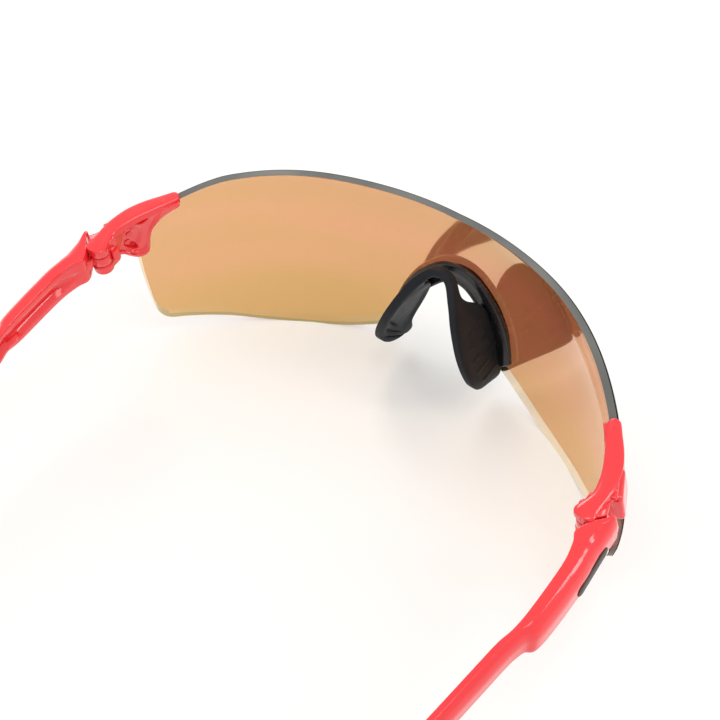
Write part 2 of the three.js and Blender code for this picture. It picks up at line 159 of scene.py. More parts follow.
def addRod(bm, start, end, radius, segments=40, bevel=0.25):
    # a rod with softened ends between two points
    axis = end - start
    made = bmesh.ops.create_cone(bm, cap_ends=True, segments=segments, radius1=radius, radius2=radius,
                                 depth=axis.length)["verts"]
    rims = [e for e in {e for v in made for e in v.link_edges} if any(len(f.verts) > 4 for f in e.link_faces)]
    made = set(made)
    if bevel:
        cut = bmesh.ops.bevel(bm, geom=rims, offset=bevel, offset_type="OFFSET", affect="EDGES", segments=3,
                              profile=0.5, material=-1, clamp_overlap=True)
        made = {v for v in made if v.is_valid} | set(cut["verts"])
    turn = axis.to_track_quat("Z", "Y").to_matrix().to_4x4()
    bmesh.ops.transform(bm, matrix=Matrix.Translation((start + end) / 2) @ turn, verts=list(made))


def finishPiece(bm, name, materials, body, nodes=(), side=1, sharp=35):
    # places the mesh, mirrors it for the right side, and ties the piece to its body
    bmesh.ops.remove_doubles(bm, verts=bm.verts, dist=1e-4)
    bmesh.ops.transform(bm, matrix=Matrix.Scale(mm, 4) @ Matrix.Translation(shift), verts=bm.verts)
    if side < 0:
        bmesh.ops.transform(bm, matrix=Matrix.Scale(-1, 4, (1, 0, 0)), verts=bm.verts)
    bmesh.ops.recalc_face_normals(bm, faces=bm.faces)
    mesh = bpy.data.meshes.new(name)
    bm.to_mesh(mesh)
    bm.free()
    return finishMesh(mesh, name, materials, body, nodes, sharp)


def finishMesh(mesh, name, materials, body, nodes=(), sharp=35):
    piece = bpy.data.objects.new(name, mesh)
    bpy.context.scene.collection.objects.link(piece)
    mesh.polygons.foreach_set("use_smooth", [True] * len(mesh.polygons))
    mesh.set_sharp_from_angle(angle=math.radians(sharp))
    for material in materials:
        mesh.materials.append(material)
    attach(piece, body)
    if nodes:
        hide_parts(*nodes)
    return piece


def meltTogether(bm, voxel, passes):
    # joins overlapping bodies into one moulded skin with softened edges
    mesh = bpy.data.meshes.new("rough")
    bm.to_mesh(mesh)
    bm.free()
    rough = bpy.data.objects.new("rough", mesh)
    bpy.context.scene.collection.objects.link(rough)
    remesh = rough.modifiers.new("remesh", "REMESH")
    remesh.mode = "VOXEL"
    remesh.voxel_size = voxel
    made = bpy.data.meshes.new_from_object(rough.evaluated_get(bpy.context.evaluated_depsgraph_get()))
    bpy.data.objects.remove(rough)
    melted = bmesh.new()
    melted.from_mesh(made)
    for _ in range(passes):
        bmesh.ops.smooth_vert(melted, verts=melted.verts, factor=0.5, use_axis_x=True, use_axis_y=True,
                              use_axis_z=True)
    return melted


def makeGroup(name, inputs, outputs):
    group = bpy.data.node_groups.new(name, "ShaderNodeTree")
    for label, kind, value in inputs:
        socket = group.interface.new_socket(label, in_out="INPUT", socket_type=kind)
        if value is not None:
            socket.default_value = value
    for label, kind in outputs:
        group.interface.new_socket(label, in_out="OUTPUT", socket_type=kind)
    return group, group.nodes.new("NodeGroupInput"), group.nodes.new("NodeGroupOutput")


def addNode(tree, kind, values=None, **settings):
    node = tree.nodes.new(kind)
    for key, value in settings.items():
        setattr(node, key, value)
    for key, value in (values or {}).items():
        if hasattr(value, "links"):
            tree.links.new(value, node.inputs[key])
        else:
            node.inputs[key].default_value = value
    return node


def grainGroup():
    # fine moulded grain: two sizes of noise as a height
    inputs = [("Vector", "NodeSocketVector", None), ("Fine", "NodeSocketFloat", 2500),
              ("Broad", "NodeSocketFloat", 300), ("Share", "NodeSocketFloat", 0.4)]
    group, start, end = makeGroup("mouldedGrain", inputs, [("Height", "NodeSocketFloat")])
    where = start.outputs["Vector"]
    fine = addNode(group, "ShaderNodeTexNoise",
                   {"Vector": where, "Scale": start.outputs["Fine"], "Detail": 3.0})
    broad = addNode(group, "ShaderNodeTexNoise",
                    {"Vector": where, "Scale": start.outputs["Broad"], "Detail": 2.0})
    mixed = addNode(group, "ShaderNodeMix",
                    {"Factor": start.outputs["Share"], "A": fine.outputs["Fac"], "B": broad.outputs["Fac"]})
    group.links.new(mixed.outputs["Result"], end.inputs["Height"])
    return group


def marksGroup():
    # finger marks and rubbed places: a roughness that drifts between two values
    inputs = [("Vector", "NodeSocketVector", None), ("Scale", "NodeSocketFloat", 90),
              ("Clean", "NodeSocketFloat", 0.1), ("Rubbed", "NodeSocketFloat", 0.3)]
    group, start, end = makeGroup("handlingMarks", inputs, [("Roughness", "NodeSocketFloat")])
    noise = addNode(group, "ShaderNodeTexNoise",
                    {"Vector": start.outputs["Vector"], "Scale": start.outputs["Scale"], "Detail": 5.0,
                     "Roughness": 0.6, "Distortion": 0.6})
    mask = addNode(group, "ShaderNodeMapRange",
                   {"Value": noise.outputs["Fac"], "From Min": 0.42, "From Max": 0.72},
                   interpolation_type="SMOOTHSTEP")
    rough = addNode(group, "ShaderNodeMapRange",
                    {"Value": mask.outputs["Result"], "To Min": start.outputs["Clean"],
                     "To Max": start.outputs["Rubbed"]})
    group.links.new(rough.outputs["Result"], end.inputs["Roughness"])
    return group


def toneGroup():
    # slow drift between two tones of the same colour
    inputs = [("Vector", "NodeSocketVector", None), ("Scale", "NodeSocketFloat", 30),
              ("Tone", "NodeSocketColor", None), ("Drift", "NodeSocketColor", None)]
    group, start, end = makeGroup("toneDrift", inputs, [("Color", "NodeSocketColor")])
    noise = addNode(group, "ShaderNodeTexNoise",
                    {"Vector": start.outputs["Vector"], "Scale": start.outputs["Scale"], "Detail": 2.0})
    mask = addNode(group, "ShaderNodeMapRange",
                   {"Value": noise.outputs["Fac"], "From Min": 0.3, "From Max": 0.7})
    mixed = addNode(group, "ShaderNodeMix", {"Factor": mask.outputs["Result"]}, data_type="RGBA")
    group.links.new(start.outputs["Tone"], mixed.inputs[6])
    group.links.new(start.outputs["Drift"], mixed.inputs[7])
    group.links.new(mixed.outputs[2], end.inputs["Color"])
    return group


groups = {"grain": grainGroup(), "marks": marksGroup(), "tone": toneGroup()}


def placeGroup(tree, key, values):
    return addNode(tree, "ShaderNodeGroup", values, node_tree=groups[key])


def startMaterial(name):
    material = bpy.data.materials.new(name)
    material.use_nodes = True
    tree = material.node_tree
    shader = tree.nodes["Principled BSDF"]
    where = addNode(tree, "ShaderNodeTexCoord").outputs["Object"]
    return material, tree, shader, where


def mouldedMaterial(name, tone, drift, clean, rubbed, fine=2500, broad=300, share=0.4, bump=0.1, depth=0.02,
                    coat=0.0, coatRoughness=0.05, specular=0.5, scale=60):
    # any moulded plastic or rubber of these glasses: tone, drift, rubbed places and grain
    material, tree, shader, where = startMaterial(name)
    tones = placeGroup(tree, "tone",
                       {"Vector": where, "Scale": scale, "Tone": (*tone, 1), "Drift": (*drift, 1)})
    marks = placeGroup(tree, "marks",
                       {"Vector": where, "Scale": scale * 2.2, "Clean": clean, "Rubbed": rubbed})
    grain = placeGroup(tree, "grain", {"Vector": where, "Fine": fine, "Broad": broad, "Share": share})
    relief = addNode(tree, "ShaderNodeBump", {"Strength": bump, "Distance": depth * mm,
                                              "Height": grain.outputs["Height"]})
    tree.links.new(tones.outputs["Color"], shader.inputs["Base Color"])
    tree.links.new(marks.outputs["Roughness"], shader.inputs["Roughness"])
    tree.links.new(relief.outputs["Normal"], shader.inputs["Normal"])
    shader.inputs["Coat Weight"].default_value = coat
    shader.inputs["Coat Roughness"].default_value = coatRoughness
    shader.inputs["Specular IOR Level"].default_value = specular
    return material


lensLook = {
    "insideTone": (0.92, 0.63, 0.38), "insideDrift": (0.76, 0.63, 0.26), "insideMetal": 0.55,
    "outsideTone": (0.62, 0.085, 0.035), "outsideDrift": (0.56, 0.11, 0.03), "outsideMetal": 0.1,
    "stretch": (0.5, 0.5, 2.2), "bands": 17,
    "shadowTint": (0.97, 0.94, 0.91, 1), "marks": 45, "rubbed": 0.05, "ior": 1.45,
}


def lensMaterial(name, tone, drift, metal, clean):
    # coated polycarbonate: part mirror, part tinted glass, with a pale shadow
    material, tree, shader, where = startMaterial(name)
    stretched = addNode(tree, "ShaderNodeMapping", {"Vector": where, "Scale": lensLook["stretch"]})
    along = stretched.outputs["Vector"]
    tones = placeGroup(tree, "tone", {"Vector": along, "Scale": lensLook["bands"], "Tone": (*tone, 1),
                                      "Drift": (*drift, 1)})
    marks = placeGroup(tree, "marks", {"Vector": where, "Scale": lensLook["marks"], "Clean": clean,
                                       "Rubbed": clean + lensLook["rubbed"]})
    tree.links.new(tones.outputs["Color"], shader.inputs["Base Color"])
    tree.links.new(marks.outputs["Roughness"], shader.inputs["Roughness"])
    shader.inputs["Metallic"].default_value = metal
    shader.inputs["Transmission Weight"].default_value = 1
    shader.inputs["IOR"].default_value = lensLook["ior"]
    clear = addNode(tree, "ShaderNodeBsdfTransparent", {"Color": lensLook["shadowTint"]})
    light = addNode(tree, "ShaderNodeLightPath")
    mixed = addNode(tree, "ShaderNodeMixShader",
                    {0: light.outputs["Is Shadow Ray"], 1: shader.outputs["BSDF"],
                     2: clear.outputs["BSDF"]})
    tree.links.new(mixed.outputs["Shader"], tree.nodes["Material Output"].inputs["Surface"])
    return material


redTone, redDrift = (0.80, 0.016, 0.024), (0.84, 0.022, 0.030)
materials = {
    "red": mouldedMaterial("redPlastic", redTone, redDrift, 0.10, 0.2, fine=900, broad=120, share=0.7,
                           bump=0.06, depth=0.05, coat=0.5, coatRoughness=0.04),
    "lensInside": lensMaterial("lensInsideCoat", lensLook["insideTone"], lensLook["insideDrift"],
                               lensLook["insideMetal"], 0.05),
    "lensOutside": lensMaterial("lensOutsideMirror", lensLook["outsideTone"], lensLook["outsideDrift"],
                                lensLook["outsideMetal"], 0.04),
    # near-black painted shade: the dark lines that run along the lens's bevelled edges
    "lensShadeLines": mouldedMaterial("lensPaintedShadeLines", (0.010, 0.010, 0.010), (0.016, 0.016, 0.016), 0.5, 0.6,
                                  specular=0.06),
    # light grey painted highlight on the upper rim of the lens, between the painted shade lines of its bevels
    "lensRimHighlight": mouldedMaterial("lensRimPaintedHighlight", (0.10, 0.10, 0.095), (0.16, 0.16, 0.15), 0.4, 0.55, bump=0.1,
                                specular=0.25),
    "padRubber": mouldedMaterial("saddleRubber", (0.010, 0.012, 0.016), (0.014, 0.017, 0.022), 0.5, 0.66,
                                 fine=3200, broad=500, share=0.35, bump=0.25, depth=0.03, specular=0.16),
    "carrier": mouldedMaterial("carrierPlastic", (0.008, 0.008, 0.010), (0.012, 0.011, 0.014), 0.2, 0.34,
                               bump=0.05, specular=0.5),
    "sock": mouldedMaterial("sockRubber", (0.022, 0.022, 0.024), (0.028, 0.028, 0.030), 0.5, 0.66, fine=2600,
                            broad=420, bump=0.3, depth=0.04),
    "inlay": mouldedMaterial("inlayPlastic", (0.026, 0.018, 0.016), (0.036, 0.024, 0.021), 0.35, 0.5,
                             specular=0.12),
}


def steelMaterial():
    material, tree, shader, where = startMaterial("pinSteel")
    marks = placeGroup(tree, "marks", {"Vector": where, "Scale": 900, "Clean": 0.22, "Rubbed": 0.42})
    tones = placeGroup(tree, "tone", {"Vector": where, "Scale": 700, "Tone": (0.56, 0.56, 0.57, 1),
                                      "Drift": (0.44, 0.44, 0.46, 1)})
    tree.links.new(tones.outputs["Color"], shader.inputs["Base Color"])
    tree.links.new(marks.outputs["Roughness"], shader.inputs["Roughness"])
    shader.inputs["Metallic"].default_value = 1
    return material


materials["steel"] = steelMaterial()
print("materials made")


def lensHalfEdges(t):
    # top and bottom ends of the lens column at share t of the half, as (arc, height)
    s = lensShape
    columns = s["columns"]
    split = 0.84     # the columns before this share run under the free top edge
    if t <= split:
        top = curveAt(s["top"], t / split)
    else:
        top = Vector(s["shoulder"]).lerp(Vector(s["corner"]), (t - split) / (1 - split))
    noseShare = 0.27
    if t <= noseShare:
        bottom = curveAt(s["nose"], t / noseShare)
    else:
        bottom = curveAt(s["bottom"], (t - noseShare) / (1 - noseShare))
    return top, bottom


def lensSheet(bm, offset):
    s = lensShape
    verts = bmesh.ops.create_grid(bm, x_segments=2 * s["columns"], y_segments=s["rows"], size=1)["verts"]
    for vert in verts:
        x, v = vert.co.x, (vert.co.y + 1) / 2
        top, bottom = lensHalfEdges(abs(x))
        point = bottom.lerp(top, v)
        bow = 0.7 * math.sin(math.pi * v) * smooth(abs(x), 0.85, 1)
        vert.co = onLens(math.copysign(point[0] + bow, x), point[1], offset)
    return verts


def makeLens():
    bm = bmesh.new()
    inside = lensSheet(bm, 0)
    innerEdges = [e for e in bm.edges if e.is_boundary]
    outside = set(lensSheet(bm, lensShape["thickness"]))
    outerEdges = [e for e in bm.edges if e.is_boundary and e.verts[0] in outside]
    for face in bm.faces:
        face.material_index = 1 if face.verts[0] in outside else 0
    rim = bmesh.ops.bridge_loops(bm, edges=innerEdges + outerEdges)["faces"]
    for face in rim:
        face.material_index = 2
    rimEdges = [e for f in rim for e in f.edges if len({g.material_index for g in e.link_faces}) == 2]
    # rim faces below clearEdgeBelow take the outside lens coat; only the upper rim keeps the light grey
    # painted highlight
    lensMiddle = onLens(0, lensShape["clearEdgeBelow"]).z
    for face in rim:
        if face.calc_center_median().z < lensMiddle:
            face.material_index = 1
    # the bevel faces take material 3, the near-black painted shade lines along the lens edge
    bmesh.ops.bevel(bm, geom=rimEdges, offset=lensShape["rimBevel"], offset_type="OFFSET", affect="EDGES",
                    segments=2, profile=0.5, material=3, clamp_overlap=False)
    for vert in bm.verts:
        vert.co.z = max(vert.co.z, -shift[2])     # the lobes stand on the table
    looks = [materials[key] for key in ("lensInside", "lensOutside", "lensRimHighlight", "lensShadeLines")]
    finishPiece(bm, "lensShield", looks, "front", ["lens"], sharp=50)


makeLens()
print("lens made")

armShape = {
    "front": -2.6, "height": 8, "shoulder": 0.8, "sockStart": 62, "length": 120,
    "hookStart": 70, "hookDrop": 14.4,
    "rings": 170, "sides": 88, "rounding": (0.97, 0.18, 0.25, 0.3),
    "inside": [(-2.6, 4.55), (-1.4, 4.3), (-0.4, 3.75), (0.4, 3.0), (1.2, 2.2), (2.3, 1.35),
               (4.2, 0.3), (5.6, 0.2), (8, 1.2), (14, 2.0), (28, 1.8), (34, 0.6),
               (42, -0.4), (62, -2.8), (90, -6.3), (120, -9.8)],
    "thickness": [(-2.6, 1.1), (-1.4, 1.7), (-0.4, 2.3), (0.4, 3.1), (1.2, 3.9),
                  (2.3, 4.75), (4.2, 5.8), (5.6, 5.9), (8, 5.1), (14, 4.6), (20, 4.5), (27.5, 4.2),
                  (30, 2.9), (36, 3), (62, 3), (120, 3)],
    "tall": [(-2.6, 7.4), (0, 8), (24, 8), (32, 6.4), (50, 6.4), (62, 6.4), (120, 6.4)],
    "channelStart": (5.5, 13.5), "channelEnd": (48, 55), "channelDepth": 1.4, "channelHalf": 1.9,
}
armInside, armThickness, armTall = (reader(armShape[key]) for key in ("inside", "thickness", "tall"))


def armLine(s):
    a = armShape
    hook = max(0, s - a["hookStart"]) / (a["length"] - a["hookStart"])
    return (a["height"] - armTall(s)) / 2 - a["hookDrop"] * hook ** 2


def armPoint(across, up, s):
    turn = math.atan(armLine(s + 0.5) - armLine(s - 0.5))
    return hingePoint(armInside(s) + across, s - up * math.sin(turn), armLine(s) + up * math.cos(turn))


def armSection(u, v, s, grow=0, rise=0):
    # a point of the arm's section, with the outside face falling back towards the top
    thick, half = armThickness(s), armTall(s) / 2 + rise
    shoulder = armShape["shoulder"] * max(0, v) ** 2 * min(1, thick / armShape["height"] * 2)
    return lerp(-grow, thick + grow - shoulder, (u + 1) / 2), v * half


def makeArm(word, side):
    a = armShape

    def place(u, v, w):
        s = lerp(a["front"], a["sockStart"] + 2, w ** 1.25)
        across, up = armSection(u, v, s)
        nose = smooth(s, a["front"] - 0.01, a["front"] + 1.1)     # the front edge is rounded off
        across, up = lerp(0.55, across, lerp(0.35, 1, nose)), up * lerp(0.86, 1, nose)
        opening = smooth(s, *a["channelStart"]) * (1 - smooth(s, *a["channelEnd"]))
        half = lerp(0.6, a["channelHalf"], opening)
        channel = smooth(-u, 0.97, 1) * opening * smooth(half - abs(up), -0.15, 0.5)
        return armPoint(across + a["channelDepth"] * channel, up, s)
    bm = sweepRings(a["rings"], a["sides"], place, a["rounding"])
    finishPiece(bm, f"armShell_{word}", [materials["red"]], f"arm_{word}", [f"arm_{word}"],
                side)


tongueShape = {
    "half": 1.3, "radius": 2.3, "bevel": 0.3,
    "webAcross": (0.2, 3.4), "webAlong": (-1.0, 4.6), "webTall": 2.5,
}


def makeTongue(word, side):
    t = tongueShape
    bm = bmesh.new()
    addRod(bm, hingePoint(0, 0, -t["half"]), hingePoint(0, 0, t["half"]), t["radius"])
    web = bmesh.ops.create_cube(bm, size=1)["verts"]
    for vert in web:
        across = lerp(*t["webAcross"], vert.co.x + 0.5)
        along = lerp(*t["webAlong"], vert.co.y + 0.5)
        vert.co = hingePoint(across, along, vert.co.z * t["webTall"])
    edges = list({e for v in web for e in v.link_edges})
    bmesh.ops.bevel(bm, geom=edges, offset=t["bevel"], offset_type="OFFSET", affect="EDGES", segments=3,
                    profile=0.5, material=-1, clamp_overlap=True)
    finishPiece(bm, f"hingeTongue_{word}", [materials["red"]], f"arm_{word}", (), side)


inlayShape = {
    "segments": 48, "radius": 1.8, "stretch": 4.2, "thickness": 1.15, "bevel": 0.2,
    "middle": 8.5, "sunk": 0.95, "drop": 1.7,
}


def makeInlay(word, side):
    # the plain pill set into the outside face
    n = inlayShape
    bm = bmesh.new()
    rim = bmesh.ops.create_circle(bm, cap_ends=True, segments=n["segments"], radius=n["radius"])["verts"]
    for vert in rim:
        vert.co.x += math.copysign(n["stretch"], vert.co.x)
    top = bmesh.ops.extrude_face_region(bm, geom=list(bm.faces))["geom"]
    raised = [g for g in top if isinstance(g, bmesh.types.BMVert)]
    bmesh.ops.translate(bm, verts=raised, vec=(0, 0, n["thickness"]))
    edges = [e for e in bm.edges if all(v in raised for v in e.verts)]
    bmesh.ops.bevel(bm, geom=edges, offset=n["bevel"], offset_type="OFFSET", affect="EDGES", segments=2,
                    profile=0.5, material=-1, clamp_overlap=True)
    bmesh.ops.triangulate(bm, faces=[f for f in bm.faces if len(f.verts) > 4])
    for vert in bm.verts:
        s = n["middle"] + vert.co.x
        vert.co = armPoint(armThickness(s) + vert.co.z - n["sunk"], vert.co.y - n["drop"], s)
    finishPiece(bm, f"armInlay_{word}", [materials["inlay"]], f"arm_{word}", [f"arm_inlay_{word}"],
                side)


sockShape = {
    "rings": 110, "sides": 56, "rounding": (0.75, 0.55, 0.6, 0.6),
    "grow": [(62, 0.6), (70, 1.1), (100, 1.4), (116, 1.3), (120, -0.3)],
    "rise": [(62, 0.3), (70, 0.6), (100, 1.2), (116, 1.2), (120, -0.8)],
}


def makeSock(word, side):
    grow, rise = reader(sockShape["grow"]), reader(sockShape["rise"])
    table = -shift.z

    def place(u, v, w):
        s = lerp(armShape["sockStart"] + 0.3, armShape["length"], 1 - (1 - w) ** 1.2)
        across, up = armSection(u, v, s, grow(s), rise(s))
        point = armPoint(across, up, s)
        point.z = max(point.z, table)
        return point
    bm = sweepRings(sockShape["rings"], sockShape["sides"], place, sockShape["rounding"])
    finishPiece(bm, f"earSock_{word}", [materials["sock"]], f"arm_{word}", [f"ear_sock_{word}"],
                side)


for word, side in sides.items():
    makeArm(word, side)
    makeTongue(word, side)
    makeInlay(word, side)
    makeSock(word, side)
print("arms made")

endShape = {
    "bite": [(67.9, 44.6), (68.5, 44.0), (69.8, 43.4), (71.9, 42.3), (73.8, 40.5), (75.3, 38.4), (76, 35.7),
             (76.3, 33), (76.9, 31), (78.3, 30.3), (80, 30.8), (81.8, 32.4), (83.4, 33.9), (86.4, 34.6)],
    "top": [(67.9, 45.4), (68.5, 45.4), (69.8, 45.3), (71.9, 45.1), (73.8, 44.9), (75.3, 44.8), (76.8, 44.6),
            (78.2, 44.5), (79.5, 44.4), (80.8, 44.3), (82.2, 44.2), (83.6, 44.1), (85, 44.0), (86.4, 43.9)],
    "columns": 150, "rows": 120, "inside": -1.7, "outside": -0.3,
    "ridges": [1.2, 2.5], "ridgeHalf": 0.3, "ridgeHeight": 0.5,
    "pocketMiddle": (81.2, 38.9), "pocketHalf": (2.9, 5.2), "pocketDepth": 0.6,
    "slots": [((77.7, 43.2), (1.7, 0.65), -0.35), ((80.9, 35.6), (2.0, 0.8), 0.85)], "slotDepth": 1.7,
    "bosses": [(80.2, 41.4), (81.4, 42.2)], "bossRadius": 0.42, "bossHeight": 0.5,
    "voxel": 0.16, "passes": 2,
}
bandShape = {
    "middle": [(-6.4, -20.9), (-4.4, -17.5), (-2.35, -14.1), (-0.7, -10.6), (0.25, -7.0), (0.5, -4.2),
               (0.25, -1.8), (-0.1, 0.4), (-0.2, 2.5)],
    "half": [(0, 1.3), (0.16, 1.75), (0.32, 2.0), (0.5, 1.85), (0.66, 1.72), (0.8, 2.0), (0.9, 2.4),
             (1, 2.45)],
    "topTip": 4.62, "topRear": 4.42, "depth": 1.5, "crown": 0.16, "tipRound": 1.1, "rearRound": 2.6,
    "skirt": 0.2, "skirtDrop": 0.1, "rings": 120, "sides": 72, "rounding": (0.55, 0.42, 0.2, 0.3),
}


def pill(x, y, middle, half, turn):
    # 1 inside a turned ellipse, falling to 0 at its rim
    dx, dy = x - middle[0], y - middle[1]
    a = (dx * math.cos(turn) + dy * math.sin(turn)) / half[0]
    b = (dy * math.cos(turn) - dx * math.sin(turn)) / half[1]
    return 1 - smooth(math.hypot(a, b), 0.8, 1.15)


def flangeRelief(arc, height, edge):
    # how far the inside face stands up at a place: contour ridges, pocket, slots and small bosses
    e = endShape
    rise = 0
    for ridge in e["ridges"]:
        rise += e["ridgeHeight"] * math.exp(-((edge - ridge) / e["ridgeHalf"]) ** 2) * smooth(arc, 71, 75)
    pocket = pill(arc, height, e["pocketMiddle"], e["pocketHalf"], 0.25)
    rise = lerp(rise, -e["pocketDepth"], pocket)
    for middle, half, turn in e["slots"]:
        rise -= e["slotDepth"] * pill(arc, height, middle, half, turn)
    for boss in e["bosses"]:
        away = math.hypot(arc - boss[0], height - boss[1])
        rise += e["bossHeight"] * (1 - smooth(away, e["bossRadius"] * 0.5, e["bossRadius"] * 1.4))
    return rise


def addFlange(bm):
    e = endShape
    sheets = []
    for offset in ("inside", "outside"):
        verts = bmesh.ops.create_grid(bm, x_segments=e["columns"], y_segments=e["rows"], size=1)["verts"]
        sheets.append(set(verts))
        for vert in verts:
            t, v = (vert.co.x + 1) / 2, (vert.co.y + 1) / 2
            bottom, top = curveAt(e["bite"], t), curveAt(e["top"], t)
            place = bottom.lerp(top, v)
            rise = flangeRelief(place[0], place[1], v * (top - bottom).length) if offset == "inside" else 0
            vert.co = onLens(place[0], place[1], e[offset] - rise)
    rims = [[g for g in bm.edges if g.is_boundary and g.verts[0] in sheet] for sheet in sheets]
    bmesh.ops.bridge_loops(bm, edges=rims[0] + rims[1])


def addBlock(bm, corners, bevel=0.3):
    # a softened block from a function that places its eight corners
    verts = bmesh.ops.create_cube(bm, size=2)["verts"]
    for vert in verts:
        vert.co = corners(*vert.co)
    edges = list({e for v in verts for e in v.link_edges})
    bmesh.ops.bevel(bm, geom=edges, offset=bevel, offset_type="OFFSET", affect="EDGES", segments=3,
                    profile=0.5, material=-1, clamp_overlap=True)


# blocks on the hinge: across is inner and outer for the low and the top corners, along is inner and outer,
# rise is low and top
hingeShape = {
    "wallFront": {"across": ((-0.6, 1.0), (-0.6, 1.0)), "along": (-8.0, -8.0), "rise": (1.2, 3.2)},
    "wallBack": {"across": ((-1.6, 2.3), (-1.6, 2.3)), "along": (-2.6, -2.6), "rise": (-3.7, 3.2)},
    "cheekFront": {"across": ((-0.8, 0.9), (-0.8, 0.9)), "along": (-9.5, -9.5), "rise": (1.2, 1.8)},
    "cheekBack": {"across": ((0.9, 4.1), (0.9, 3.7)), "along": (2.1, -1.0), "rise": (-3.8, 4.0)},
    "cheekBevel": 0.5,
    "lugs": ((1.6, 4.1), (-4.0, -1.6)), "lugRadius": 2.35, "lugBevel": 0.35,
    "webMiddle": (0.1, -1.8), "webHalf": (1.9, 2.0), "webBevel": 0.2,
    "earMiddle": (81.4, 39.6, 0.9), "earHalf": (3.6, 3.6, 1.5), "earSlope": 0.6, "earBevel": 0.8,
    "ledgeBlocks": 9, "ledgeStart": (69.6, 45.0, 0.1), "ledgeStep": (1.9, 0.13), "ledgeHalf": (1.3, 0.4, 1.5),
    "ledgeBevel": 0.3,
    "barrel": (-2.3, -2.3), "barrelRise": (-1.6, 1.5), "barrelRadius": 1.0,
}


def addHingeBlock(bm, front, back, bevel=0.3):
    def corner(x, y, z):
        end = front if y < 0 else back
        return hingePoint(end["across"][z > 0][x > 0], end["along"][x > 0], end["rise"][z > 0])
    addBlock(bm, corner, bevel)


def hingeBody(bm):
    # wall under the band, lugs with the webs that carry them, outer side, ear, ledge and barrel
    h = hingeShape
    addHingeBlock(bm, h["wallFront"], h["wallBack"])
    (webX, webS), (halfX, halfS) = h["webMiddle"], h["webHalf"]
    for low, high in h["lugs"]:
        addRod(bm, hingePoint(0, 0, low), hingePoint(0, 0, high), h["lugRadius"], bevel=h["lugBevel"])
        addBlock(bm, lambda x, y, z: hingePoint(halfX * x + webX, webS + halfS * y, high if z > 0 else low),
                 h["webBevel"])
    # outer side, which stands beside the front of the arm
    addHingeBlock(bm, h["cheekFront"], h["cheekBack"], h["cheekBevel"])

    def ear(x, y, z):
        (arc, height, offset), half = h["earMiddle"], h["earHalf"]
        return onLens(arc + half[0] * x, height + half[1] * z - h["earSlope"] * x, offset - half[2] * y)
    addBlock(bm, ear, h["earBevel"])

    # ledge that closes the flange up to the band
    for i in range(h["ledgeBlocks"]):
        def ledge(x, y, z):
            (arc, height, offset), half, step = h["ledgeStart"], h["ledgeHalf"], h["ledgeStep"]
            return onLens(arc + step[0] * i + half[0] * x, height - step[1] * i + half[1] * z,
                          offset - half[2] * y)
        addBlock(bm, ledge, h["ledgeBevel"])
    # small barrel beside the band
    low, high = h["barrelRise"]
    addRod(bm, hingePoint(*h["barrel"], low), hingePoint(*h["barrel"], high), h["barrelRadius"])


def makeEndPiece(word, side):
    bm = bmesh.new()
    addFlange(bm)
    hingeBody(bm)
    bmesh.ops.recalc_face_normals(bm, faces=bm.faces)
    bm = meltTogether(bm, endShape["voxel"], endShape["passes"])
    finishPiece(bm, f"endPieceShell_{word}", [materials["red"]], "front", [f"end_piece_{word}"],
                side, sharp=70)


def makeBand(word, side):
    # smooth brow band from its rounded tip to its rounded end over the hinge pin
    b = bandShape
    half = reader(b["half"])
    line = [curveAt(b["middle"], i / 50) for i in range(51)]
    length = sum((a - c).length for a, c in zip(line, line[1:]))

    def place(u, v, w):
        t = 0.5 - 0.5 * math.cos(math.pi * w)
        point = curveAt(b["middle"], t)
        ahead = (curveAt(b["middle"], t + 0.01) - curveAt(b["middle"], t - 0.01)).normalized()
        run, left = t * length, (1 - t) * length
        ends = 1
        if run < b["tipRound"]:
            ends = math.sqrt(max(0, 1 - (1 - run / b["tipRound"]) ** 2))
        if left < b["rearRound"]:
            ends = math.sqrt(max(0, 1 - (1 - left / b["rearRound"]) ** 2))
        # the inner wall slopes down to the flange
        skirt = max(0, -u) * (1 - v) / 2 * (1 - smooth(t, 0.5, 0.8))
        out = half(t) * ends * u - b["skirt"] * skirt
        top = lerp(b["topTip"], b["topRear"], t) + b["crown"] * (1 - u * u)
        return hingePoint(point[0] + ahead[1] * out, point[1] - ahead[0] * out,
                          top - b["depth"] * (1 - v) / 2 - b["skirtDrop"] * skirt)
    bm = sweepRings(b["rings"], b["sides"], place, b["rounding"])
    finishPiece(bm, f"browBand_{word}", [materials["red"]], "front", (), side)


for word, side in sides.items():
    makeEndPiece(word, side)
    makeBand(word, side)
print("end pieces made")

clipShape = {
    "half": [(14.0, 5.0), (13.0, 6.9), (12.5, 8.86), (11.7, 11.6), (10.25, 14.76), (8.4, 17.9), (6.25, 20.42),
             (4.2, 22.6), (2.2, 24.1), (0, 24.6)],
    "section": [(3.9, -0.3), (4.5, -0.8), (4.3, -1.6), (3.0, -2.2), (1.6, -2.2), (0.7, -2.3), (0.3, -2.6),
                (-0.3, -2.6), (-0.6, -1.9), (-0.6, 0), (-0.6, 2.3), (-0.4, 2.7), (0.4, 2.9), (1.4, 2.8),
                (1.8, 2.5), (1.7, 1.9), (-0.3, 1.9), (-0.3, -0.3)],
    "rings": 150, "sides": 108, "footRound": 0.035,
}


def polygonRing(points, f):
    # the point at share f round a closed outline, each side with the same share
    place = f * len(points)
    i = int(place) % len(points)
    a, b = points[i], points[(i + 1) % len(points)]
    return lerp(a[0], b[0], place % 1), lerp(a[1], b[1], place % 1)


